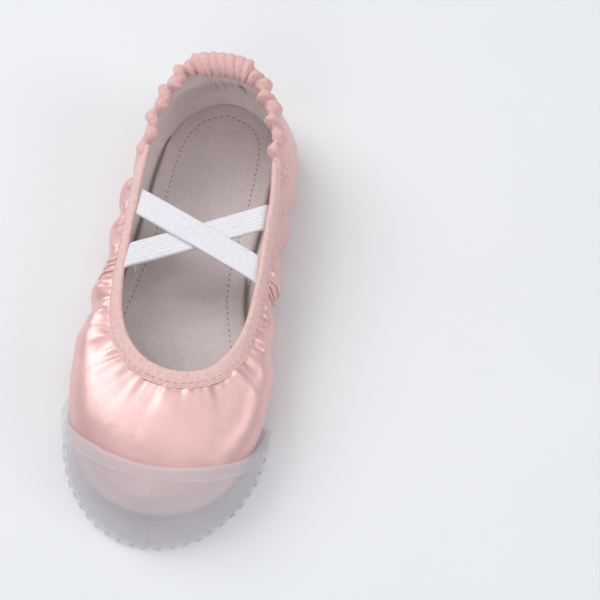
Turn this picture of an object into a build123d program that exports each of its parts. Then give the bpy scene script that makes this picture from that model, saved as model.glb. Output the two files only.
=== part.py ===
"""Child's satin ballet slipper, right foot, with a removable translucent toe cover.

Frame: +Z up, toe towards -Y, heel towards +Y, +X towards the inner (medial) side of
the foot.  Origin on the floor, under the middle of the bounding box.  Millimetres.

The slipper is a turned fabric upper (vamp and two quarters, each with its own
lining) closed by a bias binding round the foot opening.  The rear half of the
binding is a gathered casing over an elastic.  Two crossed elastics span the
opening.  The bottom is a suede outsole, a board, a foam and a canvas sock, stitched
through.  The toe sits in a one-piece moulded cover with a lip, a centre rib and a
studded tread; the slipper leans back by about one degree because of its floor.

V is the distance back from the tip of the toe cover, so Y = V - V_MID.
"""
from build123d import *
import math
import os
import numpy as np

os.makedirs("parts", exist_ok=True)

# ---------------------------------------------------------------- driving sizes
V_MID = 88.3            # V of the origin
SOLE_T = 1.5            # suede outsole
SATIN_T = 0.8           # satin, with its adhesive
LINING_T = 0.8          # cotton lining
BOARD_T = 1.0
FOAM_T = 1.4
SOCK_T = 0.6
TILT_DEG = -1.15        # lean of the slipper on the floor of the toe cover
TILT_V = 170.4          # V of the line the slipper leans about
SEAM_V = 87.0           # side seam between vamp and quarters
SEAM_GAP = 0.3          # between nodes of the two bodies
FLEX_V = 63.0           # ball of the foot
CAP_T = 1.5             # wall of the toe cover
CAP_FLOOR_Z = 0.7       # underside of its floor, above the studs
CAP_FLOOR_T = 1.1
LIP_PROUD = 0.7
STRAP_T = 1.0
LIP_W = 3.6             # moulded lip of the toe cover
RIM_TURN = 4.0          # degrees; the lip stands further forward on the medial side
MARGIN_Z = 1.75         # underside of the turned-in margin
MARGIN_W = 6.0          # its width
PLY_GAP = 0.03          # between satin and lining
TAPE_T = 0.5            # tape over the back seam
CORD_T = 0.6            # height of the side seam cords
CORDS_V = 90.2          # middle of the side seam cords
TAB_HALF = 20           # half length of the heel wrap, in stations of the opening
N_OUT = 30              # points on each level outline


# ---------------------------------------------------------------- outline maths
def closed_curve(points, n):
    """Resample a closed polygon of points to n points on a smooth curve, evenly spaced."""
    p = np.array(points, float)
    m = len(p)
    dense = []
    for i in range(m):
        a, b, c, d = p[i - 1], p[i], p[(i + 1) % m], p[(i + 2) % m]
        t0 = 0.0
        t1 = t0 + math.sqrt(np.linalg.norm(b - a)) + 1e-9
        t2 = t1 + math.sqrt(np.linalg.norm(c - b)) + 1e-9
        t3 = t2 + math.sqrt(np.linalg.norm(d - c)) + 1e-9
        for t in np.linspace(t1, t2, 20, endpoint=False):
            a1 = (t1 - t) / (t1 - t0) * a + (t - t0) / (t1 - t0) * b
            a2 = (t2 - t) / (t2 - t1) * b + (t - t1) / (t2 - t1) * c
            a3 = (t3 - t) / (t3 - t2) * c + (t - t2) / (t3 - t2) * d
            b1 = (t2 - t) / (t2 - t0) * a1 + (t - t0) / (t2 - t0) * a2
            b2 = (t3 - t) / (t3 - t1) * a2 + (t - t1) / (t3 - t1) * a3
            dense.append((t2 - t) / (t2 - t1) * b1 + (t - t1) / (t2 - t1) * b2)
    dense = np.array(dense)
    loop = np.vstack([dense, dense[:1]])
    s = np.concatenate([[0], np.cumsum(np.linalg.norm(np.diff(loop, axis=0), axis=1))])
    want = np.linspace(0, s[-1], n, endpoint=False)
    return np.stack([np.interp(want, s, loop[:, k]) for k in range(loop.shape[1])], 1)


def grow(points, d):
    """Offset a closed anticlockwise outline outwards by d."""
    p = np.array(points, float)
    t = np.roll(p, -1, 0) - np.roll(p, 1, 0)
    nrm = np.stack([t[:, 1], -t[:, 0]], 1)
    nrm /= np.linalg.norm(nrm, axis=1)[:, None]
    return p + nrm * d


def outline(toe, sides, heel):
    """Anticlockwise outline from the heel end: left side forward, toe, right side back.
    toe and heel are (x, V); sides is [(V, x left, x right)] from toe to heel."""
    pts = [heel] + [(xl, v) for v, xl, _ in sides[::-1]] + [toe] + [(xr, v) for v, _, xr in sides]
    # the lofted surfaces' own seam lies on the lateral side, clear of the cuts made later
    return np.roll(closed_curve([(x, v - V_MID) for x, v in pts], N_OUT), -4, 0)


# ---------------------------------------------------------------- upper, level by level
SOCK = outline((0.5, 12.5), [
    (14.5, -8, 9), (20, -17.5, 18.3), (28, -23.5, 24), (38, -27.3, 27), (48, -28.8, 27.5),
    (60, -29, 26), (70, -28.3, 23.5), (80, -27, 20.7), (88, -25.8, 18.7), (97, -24.3, 17.4),
    (105, -23.3, 17.3), (115, -22.3, 18), (130, -21.4, 19), (145, -20.3, 19.5),
    (155, -18.9, 19.2), (163, -15.9, 17), (169, -11.0, 12.2)], (0, 173.6))

LEVELS = [
    (SOLE_T, grow(SOCK, 1.2)),
    (6.0, outline((0, 10), [
        (13, -11, 11.5), (20, -21.5, 22), (30, -27.8, 28), (45, -31.4, 31), (60, -32, 30.2),
        (75, -30.6, 27), (90, -28.6, 24.4), (105, -27, 23.6), (120, -26.2, 24.2),
        (135, -25.2, 25), (150, -22.8, 24), (160, -19.4, 20.8), (168, -13.8, 15)], (0, 176))),
    (13.0, outline((0, 10.5), [
        (13.5, -10.5, 11), (20, -20.5, 21), (30, -28.6, 29), (45, -33, 33), (55, -34.0, 34),
        (65, -33.4, 32.8), (75, -32.0, 31.4), (90, -30.6, 30), (105, -29.9, 29.6),
        (120, -29.6, 29.8), (135, -27.2, 30), (150, -24.4, 28.8), (160, -20.9, 24.8),
        (168, -15, 17.6)], (0, 177.4))),
    (17.5, outline((0, 15), [
        (19.5, -10.5, 11), (25, -18.5, 19), (32, -25, 25.5), (45, -31.0, 31.2), (55, -32.8, 32.8),
        (65, -32.6, 32.2), (75, -31.4, 31.2), (90, -29.8, 29.8), (105, -29.2, 29.4),
        (120, -28.9, 29.6), (135, -26.8, 29.6), (150, -24.0, 28.2), (160, -20.4, 23.8),
        (168, -14.4, 16.4)], (0, 176.4))),
    (21.6, outline((0.5, 25), [
        (28, -9, 10), (34, -16.5, 17.5), (45, -25.2, 25.6), (55, -28.6, 28.8), (65, -29.6, 29.8),
        (75, -29.4, 29.6), (90, -28.4, 28.8), (105, -27.8, 28.6), (120, -27.6, 28.8),
        (135, -26.0, 28.6), (150, -23.6, 27.0), (160, -19.8, 22.4), (168, -12.6, 14.2)], (0, 174.4))),
    (25.4, outline((1.5, 45), [
        (47.5, -7, 10), (52, -12, 15), (57, -15.8, 18.8), (63, -19.2, 21.6), (70, -22.6, 24),
        (80, -24.9, 26.3), (90, -26.2, 27.5), (105, -26.4, 27.6), (120, -26.2, 27.8),
        (135, -25.2, 27.2), (150, -22.8, 25.4), (160, -18.6, 20.6), (167, -11, 12.4)], (0, 171.8))),
    (29.6, outline((1.5, 74), [
        (76.5, -8, 11), (81, -15.5, 18), (88, -21.2, 23), (97, -23.9, 25), (108, -24.9, 26.1),
        (122, -24.9, 26.1), (135, -24.3, 25.6), (145, -23.0, 24.4), (153, -21.0, 22.4),
        (160, -16.8, 18.0), (165.5, -9.6, 10.6)], (0, 169.4))),
    (37.6, outline((1, 84), [
        (87, -9, 11), (93, -16.5, 18), (102, -21.4, 22.6), (115, -22.8, 24),
        (130, -22.8, 23.8), (143, -22.3, 23), (151, -20.8, 21.4), (158, -16.8, 17.4),
        (163, -10.8, 11.4)], (0, 166.8))),
    (46.0, outline((0.5, 94), [
        (97, -8.5, 9.5), (103, -14.5, 15.5), (113, -19, 20), (126, -20.6, 21.2),
        (138, -20.2, 20.8), (148, -17.8, 18.4), (155, -13.8, 14.4), (160, -8.2, 8.8)],
        (0, 163.2))),
]

# foot opening: (x, V, z, wall angle from vertical), anticlockwise in plan from the heel
TOPLINE = [
    (0, 164.2, 43.2, 32), (-6, 163.8, 42.9, 32), (-12, 161.8, 42, 31), (-15.0, 157.4, 40.2, 30),
    (-18.3, 151.6, 38.2, 28), (-20.3, 144.4, 35.8, 26), (-21.5, 134, 33.6, 24), (-22.2, 121, 31.8, 24),
    (-22.3, 108, 30.5, 24), (-22.3, 95, 29.4, 26), (-21.8, 82, 28.4, 31), (-19.6, 70, 27.7, 42),
    (-14.7, 60.4, 27.2, 60), (-7, 53.4, 27.1, 74), (3, 50.8, 27.3, 78), (12.4, 53.4, 27.1, 74),
    (18.7, 60.2, 27.2, 60), (22.9, 70, 27.7, 42), (24.2, 82, 28.4, 31), (24.5, 95, 29.4, 26),
    (24.5, 108, 30.5, 24), (24.3, 121, 31.8, 24), (22.9, 134, 33.6, 24), (21.1, 144.4, 35.8, 26),
    (18.6, 151.6, 38.2, 28), (15.0, 157.4, 40.2, 30), (11.2, 161.8, 42, 31), (6, 163.8, 42.9, 32)]


LEAN = math.tan(math.radians(-TILT_DEG))
top = np.array(TOPLINE)
top[:, 2] -= (TILT_V - top[:, 1]) * LEAN      # stations are given as the slipper stands
top[:, 1] -= V_MID
TOP = closed_curve(top, 640)
N_TOP = len(TOP)

tilt = (Location((0, TILT_V - V_MID, 0)) * Location((0, 0, 0), (TILT_DEG, 0, 0))
        * Location((0, V_MID - TILT_V, 0)))


def save(part, name, whole=False):
    """Write one node as it stands; whole keeps every solid, else the largest one."""
    solids = sorted(part.solids(), key=lambda q: q.volume)
    print(f"{name:26s} {len(solids):3d} solids  " + " ".join(f"{q.volume:.1f}" for q in solids[-3:]), flush=True)
    kept = part if whole else Part(solids[-1].wrapped)
    kept.label = name
    export_step(kept, f"parts/{name}.step")


def box(x0, x1, v0, v1, z0, z1):
    """A plain box by its corners, for keeping one end or side of a shell."""
    with BuildPart() as b:
        with BuildSketch(Plane.XY.offset(z0)):
            with Locations(((x0 + x1) / 2, (v0 + v1) / 2 - V_MID)):
                Rectangle(x1 - x0, v1 - v0)
        extrude(amount=z1 - z0)
    return b.part


# ---------------------------------------------------------------- frame along the opening's edge
t_dir = np.roll(TOP[:, :3], -3, 0) - np.roll(TOP[:, :3], 3, 0)
t_dir /= np.linalg.norm(t_dir, axis=1)[:, None]
n_out = np.stack([t_dir[:, 1], -t_dir[:, 0], np.zeros(N_TOP)], 1)
n_out /= np.linalg.norm(n_out, axis=1)[:, None]
phi = np.radians(TOP[:, 3])[:, None]
down = n_out * np.sin(phi) - np.array([0, 0, 1]) * np.cos(phi)
down -= (down * t_dir).sum(1)[:, None] * t_dir
down /= np.linalg.norm(down, axis=1)[:, None]
side = np.cross(t_dir, down)
side /= np.linalg.norm(side, axis=1)[:, None]
side *= np.sign((side * n_out).sum(1))[:, None]


def ring_band(i0, i1, steps, half_t, up, low):
    """Ruled band along the opening's edge from station i0 to i1, from up above it to low below."""
    with BuildPart() as band:
        for i in np.linspace(i0, i1, steps).round().astype(int):
            k = i % N_TOP
            mid = TOP[k, :3] + down[k] * (low - up) / 2
            plane = Plane(origin=tuple(map(float, mid)), x_dir=tuple(map(float, side[k])),
                          z_dir=tuple(map(float, np.cross(side[k], -down[k]))))
            with BuildSketch(plane):
                Rectangle(2 * half_t, up + low)
        loft(ruled=True)
    return band.part


vs = TOP[:, 1] + V_MID
JOIN_A = next(i for i in range(N_TOP) if vs[i] < 129)      # lateral end of the gathered part
JOIN_B = N_TOP - JOIN_A                                    # medial end
SEAM_A = next(i for i in range(N_TOP) if vs[i] < SEAM_V)   # side seams
SEAM_B = N_TOP - SEAM_A


def ray_hit(origin, direction, outline_pts):
    """Distance from origin along direction to the far side of a closed outline."""
    p, q = outline_pts, np.roll(outline_pts, -1, 0)
    e = q - p
    den = direction[0] * e[:, 1] - direction[1] * e[:, 0]
    den = np.where(abs(den) < 1e-12, 1e-12, den)
    w = p - origin
    t = (w[:, 0] * e[:, 1] - w[:, 1] * e[:, 0]) / den
    u = (w[:, 0] * direction[1] - w[:, 1] * direction[0]) / den
    hit = t[(u >= 0) & (u <= 1)]
    return float(hit.max()) if len(hit) else 0.0


DENSE = [(z, closed_curve(pts, 400)) for z, pts in LEVELS]


def wall_profile(k, drop):
    """(r, z) down the satin's outer face in the upright plane square to the opening at station k,
    from drop below the rim to the edge of the sole."""
    origin, d = TOP[k, :2], n_out[k, :2]
    z_top, ang = float(TOP[k, 2]), math.radians(float(TOP[k, 3]))
    face = (SATIN_T + LINING_T) / 2
    pts = [(drop * math.sin(ang) + face * math.cos(ang), z_top - drop * math.cos(ang) + face * math.sin(ang))]
    for z, ring in DENSE[::-1]:
        if z < pts[0][1] - 1.6:
            r = ray_hit(origin, d, ring)
            if len(pts) == 1:
                r = max(r, pts[0][0] + 0.2)
            pts.append((r, max(z, MARGIN_Z)))
    return pts


def panel(i0, i1, steps, drop, depth, thick):
    """Ruled shell of the upper between stations i0 and i1, depth inside the satin's face, turned in
    under the insole at the bottom."""
    with BuildPart() as cloth:
        for i in np.linspace(i0, i1, steps).round().astype(int):
            k = int(i) % N_TOP
            wall = np.array(wall_profile(k, drop))
            run = np.gradient(wall, axis=0)
            run /= np.linalg.norm(run, axis=1)[:, None]
            inward = np.stack([run[:, 1], -run[:, 0]], 1)
            inward[-1] = (-1, 0)
            outer, inner = wall + inward * depth, wall + inward * (depth + thick)
            outer[-1, 1] = MARGIN_Z + depth
            inner[-1, 1] = MARGIN_Z + depth + thick
            plane = Plane(origin=(float(TOP[k, 0]), float(TOP[k, 1]), 0),
                          x_dir=(float(n_out[k, 0]), float(n_out[k, 1]), 0),
                          z_dir=tuple(map(float, np.cross((n_out[k, 0], n_out[k, 1], 0), (0, 0, 1)))))
            with BuildSketch(plane):
                with BuildLine():
                    o = [tuple(map(float, q)) for q in outer]
                    n = [tuple(map(float, q)) for q in inner]
                    Spline(*o)
                    Polyline(o[-1], (o[-1][0] - MARGIN_W, o[-1][1]), (o[-1][0] - MARGIN_W, n[-1][1]), n[-1])
                    Spline(*n[::-1])
                    Line(n[0], o[0])
                make_face()
        loft(ruled=True)
    return cloth.part


# ---------------------------------------------------------------- satin, then cotton lining
for cloth_name, depth, thick in (("satin", 0.0, SATIN_T), ("lining", SATIN_T + PLY_GAP, LINING_T - 2 * PLY_GAP)):
    save(tilt * panel(SEAM_A, SEAM_B, 44, 4.8, depth, thick), f"vamp_{cloth_name}")
    save(tilt * panel(0, SEAM_A - 1, 22, 5.4, depth, thick), f"quarter_{cloth_name}_lateral")
    save(tilt * panel(SEAM_B + 1, N_TOP, 22, 5.4, depth, thick), f"quarter_{cloth_name}_medial")


def bar(points, half_w, half_t, across):
    """Ruled bar through points, half_w wide along across."""
    with BuildPart() as b:
        for i, q in enumerate(points):
            a0, a1 = points[max(i - 1, 0)], points[min(i + 1, len(points) - 1)]
            run = Vector(*a1) - Vector(*a0)
            with BuildSketch(Plane(origin=q, x_dir=across, z_dir=run)):
                Rectangle(2 * half_w, 2 * half_t)
        loft(ruled=True)
    return b.part


def level_x(v, sign):
    """(z, x) of the satin's outer face at V, level by level, on one side."""
    rows = []
    for z, pts in LEVELS:
        sel = sorted((float(y), float(x)) for x, y in pts if x * sign > 8)
        rows.append((z, float(np.interp(v - V_MID, [q[0] for q in sel], [q[1] for q in sel]))))
    return rows


# raised stitched cords over the side seams, outside
for name, sign in (("side_seam_lateral", -1), ("side_seam_medial", 1)):
    with BuildPart() as seam:
        for dv in (-1.7, 0, 1.7):
            rows = level_x(CORDS_V + dv, sign)[1:5]
            zs = [4.5, 6, 9.5, 13, 17.5, 20.5]
            pts = [(float(np.interp(z, [r[0] for r in rows], [r[1] for r in rows])) + sign * 0.5,
                    CORDS_V + dv - V_MID, z) for z in zs]
            add(bar(pts, 0.4, 0.35, (0, 1, 0)))
    save(tilt * seam.part, name, whole=True)

# tape over the back seam, inside
heel_v = [(z, float(max(y for _, y in pts))) for z, pts in LEVELS]
tape_y = [(0.0, float(np.interp(z, [q[0] for q in heel_v], [q[1] for q in heel_v])) - SATIN_T - LINING_T - 0.75, z)
          for z in (7, 13, 17.5, 21.6, 25.4, 29.6, 32.6, 35.2)]
tape_line = bar(tape_y, 3.5, TAPE_T / 2, (1, 0, 0))
save(tilt * tape_line, "heel_seam_tape")

# ---------------------------------------------------------------- bottom
def plate(pts, z0, t):
    """Flat piece with a smooth closed outline."""
    with BuildPart() as p:
        with BuildSketch(Plane.XY.offset(z0)):
            with BuildLine():
                Spline(*[(float(x), float(y)) for x, y in pts], periodic=True)
            make_face()
        extrude(amount=t)
    return p.part


STITCH = grow(SOCK, -5.4)          # line of the sole stitching
z_in = MARGIN_Z + SATIN_T + LINING_T + 0.15
z_sock = z_in + BOARD_T + FOAM_T + SOCK_T

with BuildPart() as outsole:
    add(plate(grow(SOCK, -3.2), 0, SOLE_T))
    # groove that takes the stitching
    add(plate(grow(STITCH, 0.5), -0.5, 1.0) - plate(grow(STITCH, -0.5), -1, 2), mode=Mode.SUBTRACT)
save(tilt * outsole.part, "outsole")

with BuildPart() as insole_board:
    add(plate(grow(SOCK, -1.2), z_in, BOARD_T))
save(tilt * insole_board.part, "insole_board")

with BuildPart() as insole_foam:
    add(plate(grow(SOCK, -1.1), z_in + BOARD_T, FOAM_T))
save(tilt * insole_foam.part, "insole_foam")

with BuildPart() as insole_sock:
    add(plate(grow(SOCK, -1.0), z_in + BOARD_T + FOAM_T, SOCK_T))
save(tilt * insole_sock.part, "insole_sock")

# sole stitches, lying on the sock, one small bar each
N_STITCH = 64
line = closed_curve(STITCH, N_STITCH)
with BuildPart() as sole_stitches:
    for i in range(N_STITCH):
        a, b = line[i], line[(i + 1) % N_STITCH]
        ang = math.degrees(math.atan2(b[1] - a[1], b[0] - a[0]))
        m = (a + b) / 2
        with BuildSketch(Plane.XY.offset(z_sock)):
            with Locations(Location((float(m[0]), float(m[1]), 0), (0, 0, ang))):
                Rectangle(1.7, 0.5)
    extrude(amount=0.3)
save(tilt * sole_stitches.part, "sole_stitches", whole=True)

# ---------------------------------------------------------------- binding round the opening
with BuildPart() as throat_binding:
    add(ring_band(JOIN_A, JOIN_B, 46, 1.6, 0.9, 5.0))
save(tilt * throat_binding.part, "throat_binding")

# one row of topstitching near its outer edge
with BuildPart() as binding_stitches:
    for i in np.linspace(JOIN_A + 6, JOIN_B - 6, 42).round().astype(int):
        mid = TOP[i, :3] + down[i] * 3.7 + side[i] * 1.6
        plane = Plane(origin=tuple(map(float, mid)), x_dir=tuple(map(float, t_dir[i])),
                      z_dir=tuple(map(float, side[i])))
        with BuildSketch(plane):
            Rectangle(1.3, 0.4)
        extrude(amount=0.25)
save(tilt * binding_stitches.part, "binding_stitches", whole=True)

with BuildPart() as heel_binding:
    add(ring_band(JOIN_B + 1, N_TOP + JOIN_A - 1, 26, 2.2, 3.4, 5.8))
    add(ring_band(JOIN_B - 3, N_TOP + JOIN_A + 3, 26, 0.9, 2.4, -0.9), mode=Mode.SUBTRACT)
save(tilt * heel_binding.part, "heel_binding")

save(tilt * ring_band(JOIN_B + 6, N_TOP + JOIN_A - 6, 26, 0.55, 2.15, -1.15), "heel_elastic")

# ribbed wrap over the binding at the back seam
with BuildPart() as heel_tab:
    add(ring_band(N_TOP - TAB_HALF, N_TOP + TAB_HALF, 11, 3.4, 4.9, 6.2))
    add(ring_band(N_TOP - TAB_HALF - 3, N_TOP + TAB_HALF + 3, 12, 2.35, 3.6, 9.0), mode=Mode.SUBTRACT)
save(tilt * heel_tab.part, "heel_tab")

# ---------------------------------------------------------------- crossed elastics
# (name, lateral V range, medial V range, underside); each end turns down inside the opening
STRAPS = (("strap_lower", (87.6, 96.6), (109.6, 119.4), 27.6), ("strap_upper", (109.2, 119.0), (87.6, 96.6), 29.0))
X_LAT, X_MED = -19.6, 21.8
tacks = []
for name, lat, med, z0 in STRAPS:
    with BuildPart() as strap:
        with BuildSketch(Plane.XY.offset(z0)):
            with BuildLine():
                Polyline((X_LAT, lat[0] - V_MID), (X_MED, med[0] - V_MID), (X_MED, med[1] - V_MID),
                         (X_LAT, lat[1] - V_MID), close=True)
            make_face()
        extrude(amount=STRAP_T)
        for x0, (v0, v1) in ((X_LAT, lat), (X_MED - STRAP_T, med)):
            with BuildSketch(Plane.XY.offset(z0 - 7)):
                with Locations((x0 + STRAP_T / 2, (v0 + v1) / 2 - V_MID)):
                    Rectangle(STRAP_T, v1 - v0)
            extrude(amount=7 + STRAP_T)
    save(tilt * strap.part, name)
    tacks += [(X_LAT + STRAP_T, sum(lat) / 2, z0 - 4.5, 1), (X_MED - STRAP_T, sum(med) / 2, z0 - 4.5, -1)]

# bar tacks that hold the four ends
with BuildPart() as strap_tacks:
    for x, v, z, s in tacks:
        for dz in (-1.6, 1.6):
            with BuildSketch(Plane(origin=(x, v - V_MID, z + dz), x_dir=(0, 1, 0), z_dir=(s, 0, 0))):
                Rectangle(6.5, 0.8)
            extrude(amount=0.3)
save(tilt * strap_tacks.part, "strap_tacks", whole=True)

# ---------------------------------------------------------------- moulded toe cover
NOSE = [(0, 0), (0.5, 6.6), (2.4, 12.0), (3.9, 14.8), (6.6, 18.9), (10, 22.2), (14, 25.6), (18, 28.4),
        (23, 30.7), (29, 32.8), (36, 34.0), (44, 34.2)]          # (V from the tip, half width)
# (z, V of the tip, half width)
CAP_LEVELS = [(CAP_FLOOR_Z, 0.4, 33.9), (2.5, 0.0, 34.3), (8, 1.9, 34.5), (14, 5.4, 34.1),
              (20, 10.2, 32.9), (26, 16.2, 30.6), (32, 24, 27.0)]
CAP_REAR = 78.0


def cap_form(d, floor=None):
    """Solid inside the cover's outer face grown by d."""
    with BuildPart() as body:
        for k, (z, v0, w) in enumerate(CAP_LEVELS):
            zz = floor if (floor is not None and k == 0) else z
            half = [(w / 34.2 * x + d * min(1.0, x / 6.0), v0 + v - d * (1 - (x / 34.2) ** 4) - V_MID)
                    for v, x in NOSE]
            half[0] = (0.0, v0 - d - V_MID)
            rear = (w + d, CAP_REAR - V_MID)
            pts = [(-x, y) for x, y in half[::-1]] + half[1:]
            with BuildSketch(Plane.XY.offset(zz)):
                with BuildLine():
                    Spline(*pts, tangents=[(0, -1), (0, 1)])
                    Polyline(pts[-1], rear, (-rear[0], rear[1]), pts[0])
                make_face()
        loft()
    return body.part


# the slanted plane of the lip falls from the front to the rear edge of the floor
RIM_A = (17.2, 27.0)       # (V, z) in front
RIM_B = (35.6, 12.6)       # at the sides
slope = math.atan2(RIM_A[1] - RIM_B[1], RIM_B[0] - RIM_A[0])
turn = math.radians(RIM_TURN)
rim_plane = Plane(origin=(0, RIM_A[0] - V_MID, RIM_A[1]), x_dir=(math.cos(turn), -math.sin(turn), 0),
                  z_dir=(math.sin(slope) * math.sin(turn), math.sin(slope) * math.cos(turn), math.cos(slope)))


def above_rim(offset, height=80.0):
    with BuildPart() as slab:
        with BuildSketch(rim_plane.offset(offset)):
            Rectangle(160, 220)
        extrude(amount=height)
    return slab.part


cap_outer = cap_form(0.0)
cap_cavity = cap_form(-CAP_T, CAP_FLOOR_Z + CAP_FLOOR_T)
with BuildPart() as toe_cap:
    add(cap_outer)
    # centre rib
    add(cap_form(0.6) & box(-1.2, 1.2, -5, 30, CAP_FLOOR_Z, 40))
    # lip
    add(cap_form(LIP_PROUD) & above_rim(-LIP_W, LIP_W))
    add(cap_cavity, mode=Mode.SUBTRACT)
    add(above_rim(0.0), mode=Mode.SUBTRACT)
    # studs round the edge of the tread
    edge = [(x, v) for v, x in NOSE]
    loop = [(-x, v) for x, v in edge[::-1]] + edge[1:]
    p = np.array(loop, float)
    s = np.concatenate([[0], np.cumsum(np.linalg.norm(np.diff(p, axis=0), axis=1))])
    want = np.linspace(2.5, s[-1] - 2.5, 27)
    lug = np.stack([np.interp(want, s, p[:, k]) for k in (0, 1)], 1)
    ahead = np.stack([np.interp(want + 0.5, s, p[:, k]) for k in (0, 1)], 1)
    with BuildSketch(Plane.XY):
        for (x, v), (xa, va) in zip(lug, ahead):
            a = math.degrees(math.atan2(va - v, xa - x))
            with Locations(Location((float(x), float(v) - V_MID, 0), (0, 0, a))):
                Rectangle(1.5, 1.1)
    extrude(amount=CAP_FLOOR_Z + 0.4)
    # round studs under the floor
    with BuildSketch(Plane.XY):
        with Locations((0, 26 - V_MID)):
            with GridLocations(12, 10, 3, 3):
                Circle(1.8)
    extrude(amount=CAP_FLOOR_Z + 0.2)
    add(cap_cavity, mode=Mode.SUBTRACT)
save(toe_cap.part, "toe_cap")
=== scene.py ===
import math
import bpy
import numpy as np
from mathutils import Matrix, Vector


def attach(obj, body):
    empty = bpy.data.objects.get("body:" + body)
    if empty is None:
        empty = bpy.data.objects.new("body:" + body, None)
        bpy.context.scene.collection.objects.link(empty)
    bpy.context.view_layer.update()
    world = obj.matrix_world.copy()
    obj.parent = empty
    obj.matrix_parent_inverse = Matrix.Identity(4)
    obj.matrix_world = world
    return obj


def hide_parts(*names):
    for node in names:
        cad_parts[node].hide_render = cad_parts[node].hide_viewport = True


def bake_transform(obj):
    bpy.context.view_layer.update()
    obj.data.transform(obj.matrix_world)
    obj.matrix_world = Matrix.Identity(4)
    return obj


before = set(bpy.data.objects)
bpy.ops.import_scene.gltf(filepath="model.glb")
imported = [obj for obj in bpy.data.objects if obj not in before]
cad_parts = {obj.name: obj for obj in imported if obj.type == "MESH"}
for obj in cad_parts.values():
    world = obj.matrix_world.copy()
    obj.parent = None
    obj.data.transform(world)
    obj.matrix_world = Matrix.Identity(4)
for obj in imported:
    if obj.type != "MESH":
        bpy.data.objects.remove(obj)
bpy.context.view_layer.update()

rng = np.random.default_rng(11)

# ------------------------------------------------------------------ sizes, mm
V_MID = 88.3
TILT = math.radians(-1.15)
TILT_V = 170.4
LEAN = math.tan(-TILT)


# ------------------------------------------------------------------ curve maths
def resample(pts, n, closed):
    p = np.array(pts, float)
    m = len(p)
    dense = []
    for i in range(m if closed else m - 1):
        if closed:
            a, b, c, d = p[i - 1], p[i], p[(i + 1) % m], p[(i + 2) % m]
        else:
            b, c = p[i], p[i + 1]
            a = p[i - 1] if i else 2 * b - c
            d = p[i + 2] if i + 2 < m else 2 * c - b
        t0 = 0.0
        t1 = t0 + math.sqrt(np.linalg.norm(b - a)) + 1e-6
        t2 = t1 + math.sqrt(np.linalg.norm(c - b)) + 1e-6
        t3 = t2 + math.sqrt(np.linalg.norm(d - c)) + 1e-6
        for t in np.linspace(t1, t2, 20, endpoint=False):
            a1 = (t1 - t) / (t1 - t0) * a + (t - t0) / (t1 - t0) * b
            a2 = (t2 - t) / (t2 - t1) * b + (t - t1) / (t2 - t1) * c
            a3 = (t3 - t) / (t3 - t2) * c + (t - t2) / (t3 - t2) * d
            b1 = (t2 - t) / (t2 - t0) * a1 + (t - t0) / (t2 - t0) * a2
            b2 = (t3 - t) / (t3 - t1) * a2 + (t - t1) / (t3 - t1) * a3
            dense.append((t2 - t) / (t2 - t1) * b1 + (t - t1) / (t2 - t1) * b2)
    dense.append(p[0] if closed else p[-1])
    dense = np.array(dense)
    s = np.concatenate([[0], np.cumsum(np.linalg.norm(np.diff(dense, axis=0), axis=1))])
    want = np.linspace(0, s[-1], n, endpoint=not closed)
    return np.stack([np.interp(want, s, dense[:, k]) for k in range(dense.shape[1])], 1)


def grow(points, d):
    p = np.array(points, float)
    t = np.roll(p, -1, 0) - np.roll(p, 1, 0)
    nrm = np.stack([t[:, 1], -t[:, 0]], 1)
    nrm /= np.linalg.norm(nrm, axis=1)[:, None]
    return p + nrm * d


def outline(toe, sides, heel, n=30):
    pts = [heel] + [(xl, v) for v, xl, _ in sides[::-1]] + [toe] + [(xr, v) for v, _, xr in sides]
    return resample([(x, v - V_MID) for x, v in pts], n, True)


def smooth(a, sigma, axis=0, wrap=True):
    r = int(sigma * 3) + 1
    w = np.exp(-0.5 * (np.arange(-r, r + 1) / sigma) ** 2)
    w /= w.sum()
    out = np.zeros_like(a)
    for o, k in zip(range(-r, r + 1), w):
        out += k * np.roll(a, o, axis)
    return out


def step(x, a, b):
    t = np.clip((x - a) / (b - a), 0, 1)
    return t * t * (3 - 2 * t)


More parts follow.
